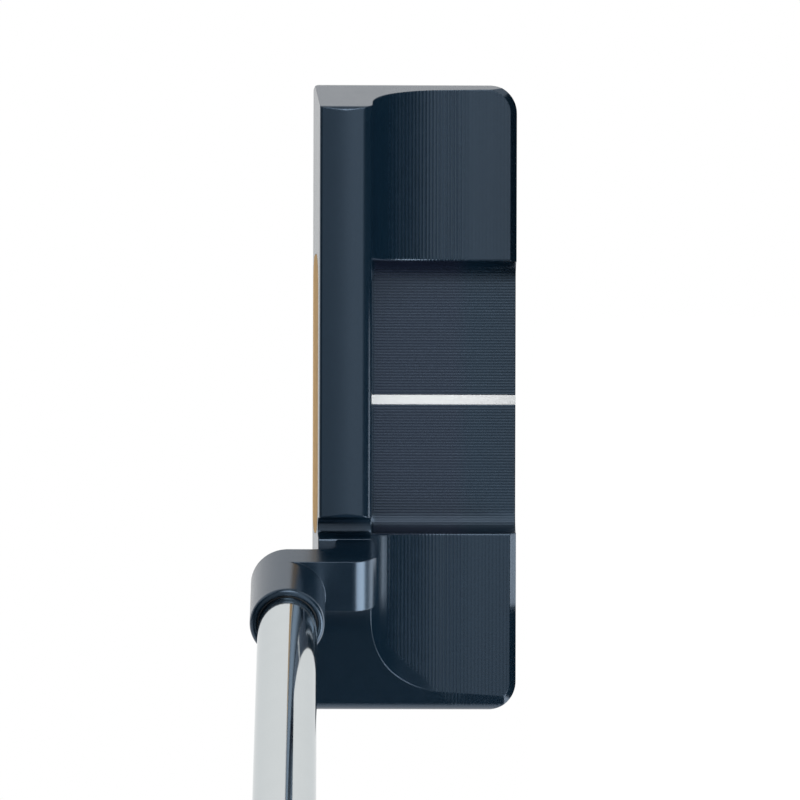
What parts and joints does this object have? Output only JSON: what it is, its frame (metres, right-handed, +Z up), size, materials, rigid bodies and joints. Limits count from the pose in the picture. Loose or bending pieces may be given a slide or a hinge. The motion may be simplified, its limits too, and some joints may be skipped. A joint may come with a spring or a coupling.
{
  "type": "golf putter",
  "caption": "Golf putter with a wide square-backed blade head, front-set crank neck, gold face insert, sight line on a low pad, stepless chrome shaft and pistol grip.",
  "frame": {"origin": "on the ground under the middle of the head, on the flat of the sole", "axes": "+Z up, +X from the toe to the heel and the player, -Y towards the target, so the face looks along -Y; the shaft leans 20 degrees towards +X"},
  "size_m": [0.3888, 0.0535, 0.8151],
  "materials": {
    "navy_finish": "satin dark navy vapour coating over milled steel",
    "insert_gold": "finely milled gold-toned metal",
    "soft_bed": "soft polymer",
    "line_paint": "white paint fill",
    "weight_steel": "turned steel",
    "shaft_chrome": "polished chrome plate",
    "bond_resin": "cured adhesive",
    "plug_foam": "moulded plastic",
    "band_film": "plain film",
    "tape": "paper-backed tape",
    "grip_core_rubber": "soft cellular rubber",
    "grip_wrap_skin": "textured dark navy skin",
    "grip_trim_rubber": "moulded black rubber"
  },
  "bodies": {
    "root": {"head_body": "navy_finish", "crank_neck": "navy_finish", "face_insert": "insert_gold", "insert_backing": "soft_bed", "sight_line_fill": "line_paint", "toe_weight": "weight_steel", "heel_weight": "weight_steel", "toe_weight_washer": "soft_bed", "heel_weight_washer": "soft_bed", "shaft": "shaft_chrome", "shaft_bond": "bond_resin", "shaft_tip_plug": "plug_foam", "shaft_band": "band_film", "grip_tape": "tape", "grip_core": "grip_core_rubber", "grip_wrap": "grip_wrap_skin", "grip_mouth_ring": "grip_trim_rubber", "grip_end_cap": "grip_trim_rubber"}
  },
  "joints": []
}
